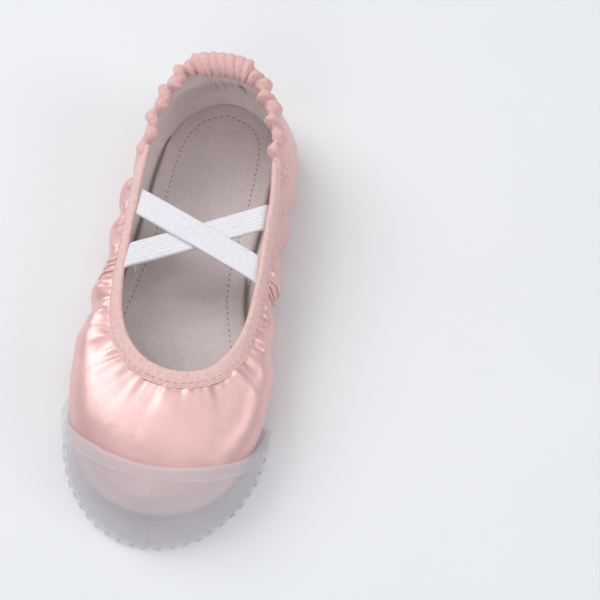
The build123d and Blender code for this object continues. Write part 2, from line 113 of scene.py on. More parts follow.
SOCK_SIDES = [
    (14.5, -8, 9), (20, -17.5, 18.3), (28, -23.5, 24), (38, -27.3, 27), (48, -28.8, 27.5),
    (60, -29, 26), (70, -28.3, 23.5), (80, -27, 20.7), (88, -25.8, 18.7), (97, -24.3, 17.4),
    (105, -23.3, 17.3), (115, -22.3, 18), (130, -21.4, 19), (145, -20.3, 19.5),
    (155, -18.9, 19.2), (163, -15.9, 17), (169, -11.0, 12.2)]
SOCK = outline((0.5, 12.5), SOCK_SIDES, (0, 173.6), 200)
LEVELS = [
    (1.9, grow(SOCK, 1.2)),
    (6.0, outline((2, 7.2), [
        (9.8, -11.5, 13), (14, -19, 19.4), (20, -24.4, 24.4), (30, -29.2, 29.2), (45, -31.4, 31), (60, -32, 30.2),
        (75, -30.6, 27), (90, -28.6, 24.4), (105, -27, 23.6), (120, -26.2, 24.2),
        (135, -25.2, 25), (150, -22.8, 24), (160, -19.4, 20.8), (168, -13.8, 15)], (0, 176))),
    (13.0, outline((2, 8.4), [
        (11.6, -12, 12.8), (15, -17.6, 17.8), (20, -22.8, 22.8), (30, -28.4, 28.4), (45, -33, 33), (55, -34.0, 34),
        (65, -33.4, 32.8), (75, -32.0, 31.4), (90, -30.6, 30), (105, -29.9, 29.6),
        (120, -29.6, 29.8), (135, -27.2, 30), (150, -24.4, 28.8), (160, -20.9, 24.8),
        (168, -15, 17.6)], (0, 177.4))),
    (17.5, outline((1, 14.2), [
        (17, -10.5, 11), (20, -15.6, 15.8), (25, -20.6, 20.8), (32, -25.9, 26), (45, -31.0, 31.2), (55, -32.8, 32.8),
        (65, -32.6, 32.2), (75, -31.4, 31.2), (90, -29.8, 29.8), (105, -29.2, 29.4),
        (120, -28.9, 29.6), (135, -26.8, 29.6), (150, -24.0, 28.2), (160, -20.4, 23.8),
        (168, -14.4, 16.4)], (0, 176.4))),
    (21.6, outline((0.5, 23.6), [
        (26, -9, 9.6), (31, -15.8, 16.2), (37, -20.6, 21), (45, -25.4, 25.8), (55, -28.6, 28.8), (65, -29.6, 29.8),
        (75, -29.4, 29.6), (90, -28.4, 28.8), (105, -27.8, 28.6), (120, -27.6, 28.8),
        (135, -26.0, 28.6), (150, -23.6, 27.0), (160, -19.8, 22.4), (168, -12.6, 14.2)], (0, 174.4))),
    (25.4, outline((1.5, 45), [
        (47.5, -7, 10), (52, -12, 15), (57, -15.8, 18.8), (63, -19.2, 21.6), (70, -22.6, 24),
        (80, -24.9, 26.3), (90, -26.2, 27.5), (105, -26.4, 27.6), (120, -26.2, 27.8),
        (135, -25.2, 27.2), (150, -22.8, 25.4), (160, -18.6, 20.6), (167, -11, 12.4)], (0, 171.8))),
    (29.6, outline((1.5, 74), [
        (76.5, -8, 11), (81, -15.5, 18), (88, -21.2, 23), (97, -23.9, 25), (108, -24.9, 26.1),
        (122, -24.9, 26.1), (135, -24.3, 25.6), (145, -23.0, 24.4), (153, -21.0, 22.4),
        (160, -16.8, 18.0), (165.5, -9.6, 10.6)], (0, 169.4))),
    (37.6, outline((1, 84), [
        (87, -9, 11), (93, -16.5, 18), (102, -21.4, 22.6), (115, -22.8, 24),
        (130, -22.8, 23.8), (143, -22.3, 23), (151, -20.8, 21.4), (158, -16.8, 17.4),
        (163, -10.8, 11.4)], (0, 166.8))),
]
DENSE = [(z, resample(pts, 400, True)) for z, pts in LEVELS]

# foot opening: x, V, z (as it stands), lean of the binding from upright, degrees
TOPLINE = [
    (0, 164.2, 43.2, 32), (-6, 163.8, 42.9, 32), (-12, 161.8, 42, 31), (-15.0, 157.4, 40.2, 30),
    (-18.3, 151.6, 38.2, 28), (-20.3, 144.4, 35.8, 26), (-21.5, 134, 33.6, 24), (-22.2, 121, 31.8, 24),
    (-22.3, 108, 30.5, 24), (-22.3, 95, 29.4, 26), (-21.8, 82, 28.4, 31), (-19.6, 70, 27.7, 42),
    (-14.7, 60.4, 27.2, 60), (-7, 53.4, 27.1, 74), (3, 50.8, 27.3, 78), (12.4, 53.4, 27.1, 74),
    (18.7, 60.2, 27.2, 60), (22.9, 70, 27.7, 42), (24.2, 82, 28.4, 31), (24.5, 95, 29.4, 26),
    (24.5, 108, 30.5, 24), (24.3, 121, 31.8, 24), (22.9, 134, 33.6, 24), (21.1, 144.4, 35.8, 26),
    (18.6, 151.6, 38.2, 28), (15.0, 157.4, 40.2, 30), (11.2, 161.8, 42, 31), (6, 163.8, 42.9, 32)]
top = np.array(TOPLINE, float)
top[:, 2] -= (TILT_V - top[:, 1]) * LEAN
top[:, 1] -= V_MID
NT = 1200
TOP = resample(top, NT, True)
TOP = smooth(TOP, 8)
T3 = TOP[:, :3]
tdir = np.roll(T3, -4, 0) - np.roll(T3, 4, 0)
tdir /= np.linalg.norm(tdir, axis=1)[:, None]
nout = np.stack([tdir[:, 1], -tdir[:, 0], np.zeros(NT)], 1)
nout /= np.linalg.norm(nout, axis=1)[:, None]
phi = np.radians(TOP[:, 3])[:, None]
down = nout * np.sin(phi) - np.array([0, 0, 1.0]) * np.cos(phi)
down -= (down * tdir).sum(1)[:, None] * tdir
down /= np.linalg.norm(down, axis=1)[:, None]
side = np.cross(tdir, down)
side /= np.linalg.norm(side, axis=1)[:, None]
side *= np.sign((side * nout).sum(1))[:, None]
SEG = np.linalg.norm(np.roll(T3, -1, 0) - T3, axis=1)
ARC = np.concatenate([[0], np.cumsum(SEG)[:-1]])
PERIM = float(SEG.sum())
VS = TOP[:, 1] + V_MID


def at_v(v, lateral=True):
    """Station index where the opening passes V, on one side."""
    half = range(0, NT // 2) if lateral else range(NT - 1, NT // 2, -1)
    return next(i for i in half if VS[i] < v)


# ------------------------------------------------------------------ mesh helpers
def place(pts):
    """Slipper coordinates to the frame, leaning on the toe cover's floor, in metres."""
    p = np.array(pts, float).reshape(-1, 3).copy()
    y0 = TILT_V - V_MID
    y, z = p[:, 1] - y0, p[:, 2].copy()
    p[:, 1] = y0 + y * math.cos(TILT) - z * math.sin(TILT)
    p[:, 2] = y * math.sin(TILT) + z * math.cos(TILT)
    return p / 1000.0


def mesh_object(name, pts, faces, mat, uv=None, shade=True, tilt=True):
    me = bpy.data.meshes.new(name)
    co = place(pts) if tilt else np.array(pts, float) / 1000.0
    me.from_pydata([tuple(c) for c in co], [], [tuple(f) for f in faces])
    me.update()
    if uv is not None:
        layer = me.uv_layers.new(name="uv")
        idx = np.zeros(len(me.loops), np.int32)
        me.loops.foreach_get("vertex_index", idx)
        layer.data.foreach_set("uv", np.array(uv, np.float32)[idx].ravel())
    me.polygons.foreach_set("use_smooth", [shade] * len(me.polygons))
    ob = bpy.data.objects.new(name, me)
    bpy.context.scene.collection.objects.link(ob)
    ob.data.materials.append(mat)
    return ob


def grid_faces(n, m, wrap_n=False, wrap_m=False, flip=False, base=0):
    fs = []
    for i in range(n if wrap_n else n - 1):
        for j in range(m if wrap_m else m - 1):
            a, b = i * m + j, ((i + 1) % n) * m + j
            c, d = ((i + 1) % n) * m + (j + 1) % m, i * m + (j + 1) % m
            f = (a, b, c, d)
            fs.append(tuple(base + q for q in (f[::-1] if flip else f)))
    return fs


def tube(path, radius, n=8, squash=1.0, base=0):
    """Closed round tube along a path; returns points and faces."""
    path = np.array(path, float)
    m = len(path)
    t = np.gradient(path, axis=0)
    t /= np.linalg.norm(t, axis=1)[:, None] + 1e-12
    up = np.array([0.13, 0.21, 0.97])
    a = np.cross(t, up)
    a /= np.linalg.norm(a, axis=1)[:, None] + 1e-12
    b = np.cross(a, t)
    r = np.broadcast_to(np.array(radius, float), (m,))
    th = np.linspace(0, 2 * math.pi, n, endpoint=False)
    pts = (path[:, None, :] + r[:, None, None] * (np.cos(th)[None, :, None] * a[:, None, :]
           + squash * np.sin(th)[None, :, None] * b[:, None, :])).reshape(-1, 3)
    fs = grid_faces(m, n, wrap_m=True, base=base)
    fs.append(tuple(base + q for q in range(n)))
    fs.append(tuple(base + (m - 1) * n + q for q in range(n - 1, -1, -1)))
    return pts, fs


def many(name, bits, mat, tilt=True):
    pts, fs, base = [], [], 0
    for p, f in bits:
        pts.append(p)
        fs += [tuple(base + q for q in ff) for ff in f]
        base += len(p)
    return mesh_object(name, np.vstack(pts), fs, mat, tilt=tilt)


def soft(piece, *nodes):
    """A soft piece: bakes its transform into the mesh and hides the CAD nodes it replaces."""
    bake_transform(piece)
    if nodes:
        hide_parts(*nodes)


# ------------------------------------------------------------------ materials
def srgb(r, g, b):
    return tuple(((c / 255 + 0.055) / 1.055) ** 2.4 if c > 10 else c / 255 / 12.92 for c in (r, g, b)) + (1.0,)


class Mat:
    def __init__(self, name, base, rough, **kw):
        self.m = bpy.data.materials.new(name)
        self.m.use_nodes = True
        self.nt = self.m.node_tree
        self.b = self.nt.nodes["Principled BSDF"]
        self.b.inputs["Base Color"].default_value = base
        self.b.inputs["Roughness"].default_value = rough
        for k, v in kw.items():
            self.b.inputs[k.replace("_", " ")].default_value = v
        self.base, self.rough = base, rough
        self.height = None
        self.coord = self.nt.nodes.new("ShaderNodeTexCoord")

    def node(self, kind, **inputs):
        n = self.nt.nodes.new(kind)
        for k, v in inputs.items():
            key = k.replace("_", " ")
            if key in n.inputs:
                n.inputs[key].default_value = v
            else:
                setattr(n, k, v)
        return n

    def link(self, a, b):
        self.nt.links.new(a, b)

    def noise(self, scale, detail=4, stretch=None, rough=0.6):
        n = self.node("ShaderNodeTexNoise", Scale=scale, Detail=detail, Roughness=rough)
        src = self.coord.outputs["Object"]
        if stretch:
            mp = self.node("ShaderNodeMapping")
            mp.inputs["Scale"].default_value = stretch
            self.link(src, mp.inputs["Vector"])
            src = mp.outputs["Vector"]
        self.link(src, n.inputs["Vector"])
        return n.outputs["Fac"]

    def uvwave(self, axis, scale, distort=0.0):
        w = self.node("ShaderNodeTexWave", Scale=scale, Distortion=distort)
        w.wave_type, w.bands_direction, w.wave_profile = "BANDS", axis, "SIN"
        self.link(self.coord.outputs["UV"], w.inputs["Vector"])
        return w.outputs["Fac"]

    def ramp(self, fac, stops):
        r = self.node("ShaderNodeValToRGB")
        el = r.color_ramp.elements
        while len(el) < len(stops):
            el.new(0.5)
        for e, (p, c) in zip(el, stops):
            e.position, e.color = p, c
        self.link(fac, r.inputs["Fac"])
        return r.outputs["Color"]

    def mix(self, fac, a, b, kind="MIX"):
        n = self.nt.nodes.new("ShaderNodeMix")
        n.data_type, n.blend_type = "RGBA", kind
        for val, sock in ((fac, n.inputs[0]), (a, n.inputs[6]), (b, n.inputs[7])):
            if hasattr(val, "links"):
                self.link(val, sock)
            else:
                sock.default_value = val
        return n.outputs[2]

    def colour(self, out):
        self.link(out, self.b.inputs["Base Color"])

    def rough_from(self, fac, lo, hi):
        n = self.node("ShaderNodeMapRange")
        n.inputs["To Min"].default_value, n.inputs["To Max"].default_value = lo, hi
        self.link(fac, n.inputs["Value"])
        self.link(n.outputs["Result"], self.b.inputs["Roughness"])

    def bump(self, fac, strength, dist):
        n = self.node("ShaderNodeBump", Strength=strength, Distance=dist)
        self.link(fac, n.inputs["Height"])
        if self.height is not None:
            self.link(self.height, n.inputs["Normal"])
        self.height = n.outputs["Normal"]
        self.link(self.height, self.b.inputs["Normal"])


def shade(c, k):
    return (min(1, c[0] * k), min(1, c[1] * k), min(1, c[2] * k), 1.0)


def satin_material():
    base = srgb(238, 196, 193)
    m = Mat("satin_pink", base, 0.42, Sheen_Weight=0.12, Sheen_Roughness=0.35, Specular_IOR_Level=0.55,
            Metallic=0.5, Anisotropic=0.3)
    m.b.inputs["Sheen Tint"].default_value = (1.0, 0.93, 0.92, 1.0)
    n1 = m.noise(55, 5)
    m.colour(m.ramp(n1, [(0.3, shade(base, 0.93)), (0.7, shade(base, 1.05))]))
    m.rough_from(m.noise(420, 3), 0.37, 0.47)
    m.bump(m.noise(1, 2, (2600, 420, 2600)), 0.12, 0.0003)      # long floats of the satin weave
    m.bump(m.noise(48, 2), 0.24, 0.0024)       # soft mottling of the cloth over its lining
    m.bump(m.noise(170, 3), 0.16, 0.0008)
    return m.m


def knit_material(name, base, rough=0.85):
    m = Mat(name, base, rough, Sheen_Weight=0.35, Sheen_Roughness=0.5, Specular_IOR_Level=0.25)
    n = m.noise(900, 3)
    m.colour(m.ramp(n, [(0.28, shade(base, 0.86)), (0.5, base), (0.75, shade(base, 1.06))]))
    m.bump(m.noise(1, 2, (1500, 1500, 900)), 0.5, 0.0004)
    m.bump(m.uvwave("X", 1.0), 0.18, 0.0003)
    return m.m


def canvas_material(name, base, dirt=0.0):
    m = Mat(name, base, 0.9, Sheen_Weight=0.15, Specular_IOR_Level=0.2)
    warp = m.uvwave("X", 1.0)
    weft = m.uvwave("Y", 1.0)
    weave = m.mix(0.5, warp, weft)
    tone = m.ramp(m.noise(38, 5), [(0.35, shade(base, 0.93 - dirt)), (0.65, shade(base, 1.02))])
    fine = m.ramp(m.noise(1200, 2), [(0.3, (0.88, 0.86, 0.85, 1)), (0.7, (1, 1, 1, 1))])
    m.colour(m.mix(1.0, tone, fine, "MULTIPLY"))
    m.bump(weave, 0.25, 0.0003)
    m.bump(m.noise(300, 4), 0.2, 0.0005)
    return m.m


def thread_material(name, base, rough=0.6):
    m = Mat(name, base, rough, Sheen_Weight=0.2)
    m.colour(m.ramp(m.noise(1600, 2), [(0.3, shade(base, 0.85)), (0.7, shade(base, 1.08))]))
    m.bump(m.noise(2200, 2), 0.4, 0.0002)
    return m.m


def elastic_material():
    base = srgb(246, 247, 252)
    m = Mat("elastic_white", base, 0.75, Sheen_Weight=0.2, Specular_IOR_Level=0.3)
    m.colour(m.ramp(m.noise(1300, 2), [(0.3, shade(base, 0.9)), (0.7, shade(base, 1.02))]))
    m.bump(m.uvwave("X", 1.0), 0.35, 0.0002)       # fine cross threads
    m.bump(m.noise(1700, 2), 0.3, 0.0002)
    return m.m


def suede_material():
    base = srgb(196, 170, 158)
    m = Mat("suede_sole", base, 0.95, Sheen_Weight=0.4, Sheen_Roughness=0.6, Specular_IOR_Level=0.15)
    big = m.ramp(m.noise(60, 5), [(0.3, shade(base, 0.8)), (0.7, shade(base, 1.08))])
    m.colour(big)
    m.bump(m.noise(1400, 4), 0.6, 0.0005)
    return m.m


def cover_material():
    base = srgb(238, 236, 240)
    m = Mat("frosted_cover", base, 0.30, Alpha=0.33, Specular_IOR_Level=0.45, IOR=1.41,
            Coat_Weight=0.25, Coat_Roughness=0.22, Sheen_Weight=0.1)
    m.colour(m.ramp(m.noise(25, 3), [(0.3, srgb(234, 232, 237)), (0.7, srgb(242, 240, 244))]))
    m.rough_from(m.noise(90, 4), 0.22, 0.36)
    m.bump(m.noise(260, 3), 0.08, 0.0004)
    return m.m


SATIN = satin_material()
TAPE = knit_material("binding_pink", srgb(239, 202, 197))
TAPE_DEEP = knit_material("heel_knit_pink", srgb(236, 193, 189))
CANVAS = canvas_material("canvas_lining", srgb(250, 242, 240))
SOCK_MAT = canvas_material("canvas_sock", srgb(232, 221, 221), 0.06)
COTTON_THREAD = thread_material("thread_cream", srgb(240, 234, 228))
# deep pink: the serging thread's own colour, and on the topstitching painted shade of the sunk stitch dents
PINK_THREAD_AND_DENT_SHADE = thread_material("thread_pink_and_dent_shade", srgb(226, 168, 158))
PALE_PINK_THREAD = thread_material("thread_pale_pink", srgb(244, 208, 202), 0.4)
# painted shade: grey-brown standing in for the shade in the stitch holes and in the gap at the sock's edge
PAINTED_SHADE = thread_material("stitch_shadow", srgb(158, 142, 136), 0.9)
TAPE_STITCH = thread_material("tape_stitch_grey", srgb(190, 178, 174), 0.9)
ELASTIC = elastic_material()
SUEDE = suede_material()
COVER = cover_material()

# ------------------------------------------------------------------ satin surface
STEP = 2
KS = np.arange(0, NT, STEP)
NP = 64


def ray_hits(origin, d, ring):
    p, q = ring, np.roll(ring, -1, 0)
    e = q - p
    den = d[0] * e[:, 1] - d[1] * e[:, 0]
    den = np.where(abs(den) < 1e-12, 1e-12, den)
    w = p - origin
    t = (w[:, 0] * e[:, 1] - w[:, 1] * e[:, 0]) / den
    u = (w[:, 0] * d[1] - w[:, 1] * d[0]) / den
    hit = t[(u >= 0) & (u <= 1)]
    return float(hit.max()) if len(hit) else 0.0


prof = np.zeros((len(KS), NP, 2))
for row, k in enumerate(KS):
    ang = float(phi[k, 0])
    pts = [(3.2 * math.sin(ang) + 0.9 * math.cos(ang), TOP[k, 2] - 3.2 * math.cos(ang) + 0.9 * math.sin(ang))]
    for z, ring in DENSE[::-1]:
        if z < pts[0][1] - 1.3:
            r = ray_hits(TOP[k, :2], nout[k, :2], ring)
            if len(pts) == 1:
                r = max(r, pts[0][0] + 0.4)
            pts.append((r, z))
    last = pts[-1]
    pts.append((last[0] - 0.9, 1.62))
    pts.append((last[0] - 3.5, 1.55))
    pts.append((last[0] - 7.0, 1.6))
    prof[row] = resample(pts, NP, False)
prof = smooth(prof, 5)
ORIG = TOP[KS, :3].copy()
ORIG[:, 2] = 0
D2 = nout[KS]
S = ORIG[:, None, :] + D2[:, None, :] * prof[:, :, :1] + np.array([0, 0, 1.0]) * prof[:, :, 1:]
arc = ARC[KS]
dist = np.concatenate([np.zeros((len(KS), 1)), np.cumsum(np.linalg.norm(np.diff(prof, axis=1), axis=2), axis=1)], 1)


def normals(g):
    a = np.roll(g, -1, 0) - np.roll(g, 1, 0)
    b = np.gradient(g, axis=1)
    n = np.cross(b, a)
    n /= np.linalg.norm(n, axis=2)[:, :, None] + 1e-9
    out = np.repeat(D2[:, None, :], g.shape[1], 1)
    sgn = np.sign((n[:, :20] * out[:, :20]).sum((1, 2)))
    return n * sgn[:, None, None]


NRM = normals(S)
vv = VS[KS][:, None]
s_ = arc[:, None]
gather = np.where(vv > 137, 0.35, 1.0) * np.ones_like(dist)
gather = smooth(gather, 12)
disp = np.zeros_like(dist)
# small gathers where the satin is drawn into the binding
wob = 0.9 * np.sin(s_ / 7.3) + 0.7 * np.sin(s_ / 3.1 + 1.3)
disp += 0.34 * gather * np.exp(-dist / 3.6) * np.sin(2 * math.pi * s_ / 2.75 + wob + 0.10 * dist)
disp += 0.22 * gather * np.exp(-dist / 6.0) * np.sin(2 * math.pi * s_ / 4.9 + 1.7 * wob)
# larger folds
s0 = 0.0
while s0 < PERIM:
    k = int(np.searchsorted(ARC, s0)) % NT
    v = VS[k]
    front = v < 64
    sidew = step(v, 62, 74) * (1 - step(v, 138, 150))
    heelw = step(v, 138, 150)
    gap = 6.0 * (1 - sidew) + 7.5 * sidew + 3 * heelw
    width = rng.uniform(1.5, 2.9) + 0.8 * sidew
    length = rng.uniform(8, 20) if front else rng.uniform(12, 24)
    amp = rng.uniform(0.4, 1.0) * (1 + 0.55 * sidew) * (1 - 0.8 * heelw)
    slant = rng.uniform(-0.22, 0.22)
    ds = (s_ - s0 + PERIM / 2) % PERIM - PERIM / 2 - slant * dist
    w = width * (1 + dist / 26)
    body = np.exp(-(ds / w) ** 2) * np.cos(1.25 * ds / w + rng.uniform(-0.9, 0.9))
    fade = np.clip(1 - dist / length, 0, 1) ** 1.3 * step(dist, -1, 1.5)
    disp += 1.25 * rng.choice([-1, 1], p=[0.6, 0.4]) * amp * body * fade
    s0 += gap * rng.uniform(0.65, 1.35)
# slack along the sides
sidev = step(vv, 56, 72) * (1 - step(vv, 136, 148))
disp += sidev * 0.95 * np.sin(2 * math.pi * s_ / 17.5 + 0.8 * np.sin(s_ / 9)) * step(dist, 2, 7) * (1 - step(dist, 15, 24))
disp += sidev * 0.35 * np.sin(2 * math.pi * s_ / 8.1 + 2.0) * step(dist, 1, 5) * (1 - step(dist, 9, 16))
# gentle undulation over the toe
toev = (1 - step(vv, 52, 66))
disp += toev * 0.22 * np.sin(s_ / 5.2 + 0.6) * np.sin(dist / 6.0) * step(dist, 6, 12) * (1 - step(dist, 26, 34))
# pleats of the turned-in margin underneath
edge = dist[:, -1:] - dist
disp += 0.38 * np.sin(2 * math.pi * s_ / 3.4 + 0.6 * np.sin(s_ / 4)) * (1 - step(edge, 4.5, 9.5))
rim_in = step(dist, 0.6, 4.0)
disp = disp * (0.4 + 0.6 * rim_in) - 0.5 * (1 - rim_in)      # tucked under the binding
disp = np.where(edge < 6, np.minimum(disp, 0.0), disp)
SAT = S + NRM * disp[:, :, None]
UVG = np.stack([np.repeat(arc[:, None], NP, 1), dist], 2)


def row_of(v, lateral=True):
    return at_v(v, lateral) // STEP


def take(g, i0, i1):
    idx = [i % len(KS) for i in range(i0, i1 + 1)]
    return g[idx]


def strip(name, g, uvg, i0, i1, mat, flip=False):
    a, u = take(g, i0, i1), take(uvg, i0, i1)
    return mesh_object(name, a.reshape(-1, 3), grid_faces(a.shape[0], a.shape[1], flip=flip), mat,
                       uv=u.reshape(-1, 2))


SEAM_V = 87.0
ra, rb = row_of(SEAM_V, True), row_of(SEAM_V, False)
vamp = strip("vamp_satin_skin", SAT, UVG, ra - 1, rb + 1, SATIN)
soft(vamp, "vamp_satin")
ql = strip("quarter_satin_lateral_skin", SAT, UVG, 0, ra, SATIN)
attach(ql, "heel"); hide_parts("quarter_satin_lateral")
qm = strip("quarter_satin_medial_skin", SAT, UVG, rb, len(KS), SATIN)
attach(qm, "heel"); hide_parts("quarter_satin_medial")

# ------------------------------------------------------------------ lining
LN = normals(S)
soft_disp = smooth(disp, 4) * 0.35
LIN = S + LN * (soft_disp[:, :, None] - 1.55)
keep = NP - 6
LIN, LUV = LIN[:, :keep], UVG[:, :keep] * 1.0
vl = strip("vamp_lining_skin", LIN, LUV, ra - 1, rb + 1, CANVAS, flip=True)
soft(vl, "vamp_lining")
a = strip("quarter_lining_lateral_skin", LIN, LUV, 0, ra, CANVAS, flip=True)
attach(a, "heel"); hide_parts("quarter_lining_lateral")
a = strip("quarter_lining_medial_skin", LIN, LUV, rb, len(KS), CANVAS, flip=True)
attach(a, "heel"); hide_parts("quarter_lining_medial")


# ------------------------------------------------------------------ binding round the opening
def band(k0, k1, every, section, shape=None):
    """Closed band from station k0 to k1; section is (a down the wall, b outwards) in mm."""
    ks = list(range(k0, k1 + 1, every))
    rows, uvs = [], []
    sec = np.array(section, float)
    run = np.concatenate([[0], np.cumsum(np.linalg.norm(np.diff(sec, axis=0), axis=1))])
    for k in ks:
        kk = k % NT
        s = ARC[kk] + (PERIM if k >= NT else 0)
        q = sec if shape is None else shape(s, sec)
        rows.append(T3[kk] + q[:, :1] * down[kk] + q[:, 1:2] * side[kk] + (q[:, 2:3] * tdir[kk] if q.shape[1] > 2 else 0))
        uvs.append(np.stack([np.full(len(sec), s), run], 1))
    return np.array(rows), np.array(uvs)


def band_object(name, rows, uvs, mat):
    n, m = rows.shape[:2]
    fs = grid_faces(n, m, wrap_m=True)
    fs.append(tuple(range(m - 1, -1, -1)))
    fs.append(tuple((n - 1) * m + q for q in range(m)))
    return mesh_object(name, rows.reshape(-1, 3), fs, mat, uv=uvs.reshape(-1, 2))


FLAT = resample([(4.75, 0.45), (4.85, 0.8), (4.6, 1.05), (3.6, 1.18), (2.2, 1.25), (0.8, 1.2), (-0.2, 0.95),
                 (-0.75, 0.45), (-0.85, -0.2), (-0.6, -0.75), (0.1, -1.1), (1.6, -1.2), (3.2, -1.2), (4.0, -1.1),
                 (4.1, -0.8), (3.2, -0.65), (1.5, -0.55), (0.6, -0.1), (1.5, 0.4), (3.2, 0.4)], 40, True)
JA, JB = at_v(132.5, True), at_v(132.5, False)


def flat_shape(s, sec):
    q = sec.copy()
    q[:, 0] += 0.10 * math.sin(s / 5.7) + 0.06 * math.sin(s / 2.3)
    q[:, 1] += 0.10 * math.sin(s / 8.1 + 1) * (sec[:, 0] / 5)
    return q


rows, uvs = band(JA - 6, JB + 6, 3, FLAT, flat_shape)
tb = band_object("throat_binding_tape", rows, uvs, TAPE)
soft(tb, "throat_binding")


def along(k0, k1, every, a, b, wave=None):
    pts = []
    for k in range(k0, k1 + 1, every):
        kk = k % NT
        s = ARC[kk] + (PERIM if k >= NT else 0)
        da, db = wave(s) if wave else (0, 0)
        pts.append(T3[kk] + (a + da) * down[kk] + (b + db) * side[kk])
    return np.array(pts)


# thin piped lip where the binding meets the satin
lip = many("binding_lip", [tube(along(JA, JB, 3, 4.95, 0.85, lambda s: (0.08 * math.sin(s / 3.3), 0)), 0.34, 8)], TAPE)
soft(lip)
# serged thread along the inner edge
serge = many("binding_serging", [tube(along(JA, JB, 1, -0.35, -0.85, lambda s: (
    0.20 * math.sin(s * 5.2), 0.14 * math.cos(s * 5.2))), 0.13, 5)], PINK_THREAD_AND_DENT_SHADE)
soft(serge)
# topstitching; its deeper pink is painted shade of the stitches sunk into the band
bits = []
s = ARC[JA] + 1.5
while s < ARC[JB] - 1.5:
    k = int(np.searchsorted(ARC, s))
    k2 = int(np.searchsorted(ARC, s + 1.25))
    p = along(k, k2, max(1, (k2 - k) // 4), 3.45, 1.21)
    if len(p) > 2:
        bits.append(tube(p, [0.06] + [0.17] * (len(p) - 2) + [0.06], 6))
    s += 2.15
st = many("binding_topstitch", bits, PINK_THREAD_AND_DENT_SHADE)
soft(st, "binding_stitches")

# ------------------------------------------------------------------ gathered heel binding
TH = np.linspace(0, 2 * math.pi, 36, endpoint=False)
TABH = 10.2                      # half length of the heel wrap, mm


T_END = float(min(ARC[JA], PERIM - ARC[JB])) + 2.0


def lobes(s, sec):
    t = min(s % PERIM, PERIM - s % PERIM)          # distance from the back seam
    fade = step(t, T_END - 2.5, T_END + 1.5)
    th = np.arctan2(sec[:, 1], sec[:, 0])
    left = 1.0 if s % PERIM < PERIM / 2 else -1.0
    turn = 0.3064 * t - 0.00182 * t * t + (0.35 if left > 0 else 0.0)
    ph = 2 * math.pi * turn + left * (1.0 * np.sin(th + 0.6)) + 0.35 * math.sin(t * 0.9)
    crease = np.abs(np.sin(ph / 2)) ** 0.8
    amp = (0.50 + 0.58 * crease) * (1 - fade) + fade * 0.50
    near = 1 - step(t, 10, 44)
    q = sec * np.array([1 + 0.05 * near, 1.06 + 0.34 * near]) * amp[:, None]
    swing = math.sin(math.pi * turn + 0.4) * (1 - fade) * float(step(t, 9, 14))
    q = np.column_stack([q[:, 0] + 1.9 + 0.9 * swing, q[:, 1] + 0.62 * swing + 0.1,
                         0.9 * np.sin(th - 0.8) * (1 - fade)])
    wr = 0.13 * np.sin(7 * th + t * 2.1) * (1 - fade)
    q[:, 0] += wr * np.cos(th)
    q[:, 1] += wr * np.sin(th)
    return q


ELL = np.stack([2.95 * np.sign(np.cos(TH)) * abs(np.cos(TH)) ** 0.85, 2.05 * np.sign(np.sin(TH)) * abs(np.sin(TH)) ** 0.85], 1)
rows, uvs = band(JB - 6 - 8, NT + JA + 6 + 8, 2, ELL, lobes)
hb = band_object("heel_binding_gathered", rows, uvs, TAPE_DEEP)
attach(hb, "heel"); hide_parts("heel_binding")


def ribs(s, sec):
    t = s - PERIM                                   # signed distance from the back seam
    pitch = 2 * TABH / 7
    x = (t + TABH) / pitch
    r = np.abs(np.sin(math.pi * x)) ** 0.45
    end = step(TABH - abs(t), -0.2, 1.2)
    th = np.arctan2(sec[:, 1], sec[:, 0])
    lean = 0.7 * np.sin(th) * (1 + 0.2 * math.sin(t))
    amp = 0.83 + 0.22 * r * end
    q = sec * amp * (0.70 + 0.30 * step(TABH - abs(t), -0.05, 0.9))
    return np.column_stack([q[:, 0] + 1.9, q[:, 1] + 0.1, lean])


TAB = np.stack([4.0 * np.sign(np.cos(TH)) * abs(np.cos(TH)) ** 0.9, 4.25 * np.sign(np.sin(TH)) * abs(np.sin(TH)) ** 0.9], 1)
kt = int(round(TABH / PERIM * NT))
rows, uvs = band(NT - kt, NT + kt, 1, TAB, ribs)
ht = band_object("heel_tab_wrap", rows, uvs, TAPE_DEEP)
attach(ht, "heel"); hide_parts("heel_tab")

# ------------------------------------------------------------------ side seams: three stitched cords each
for name, lateral in (("side_seam_lateral", True), ("side_seam_medial", False)):
    bits = []
    for dv in (-1.75, 0, 1.75):
        r = row_of(90.2 + dv, lateral)
        g = SAT[r, 2:40] + NRM[r, 2:40] * 0.25
        rad = 0.42 + 0.10 * np.sin(np.arange(38) * 2.1)
        bits.append(tube(resample(g, 90, False), np.interp(np.linspace(0, 1, 90), np.linspace(0, 1, 38), rad), 8))
    ob = many(name + "_cords", bits, PALE_PINK_THREAD)
    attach(ob, "heel"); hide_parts(name)

# closed back seam of the satin, outside
g = SAT[0, 3:NP - 9] + NRM[0, 3:NP - 9] * 0.04
ob = many("back_seam_thread", [tube(resample(g, 120, False), 0.20 + 0.05 * np.sin(np.arange(120) * 1.9), 8)], PALE_PINK_THREAD)
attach(ob, "heel")

# ------------------------------------------------------------------ insole
Z_SOCK = 1.75 + 1.6 + 0.15 + 1.0 + 1.4 + 0.6
RINGS = 40
edge_ring = resample(grow(SOCK, 0.45), 420, True)
spine_v = np.array([18, 40, 60, 80, 100, 120, 140, 160, 168]) - V_MID
sv = np.array([r[0] for r in SOCK_SIDES]) - V_MID
mid_x = np.interp(edge_ring[:, 1], sv, [(r[1] + r[2]) / 2 for r in SOCK_SIDES])
core_y = np.clip(edge_ring[:, 1], 30 - V_MID, 156 - V_MID)
core = np.stack([np.interp(core_y, sv, [(r[1] + r[2]) / 2 for r in SOCK_SIDES]), core_y], 1)


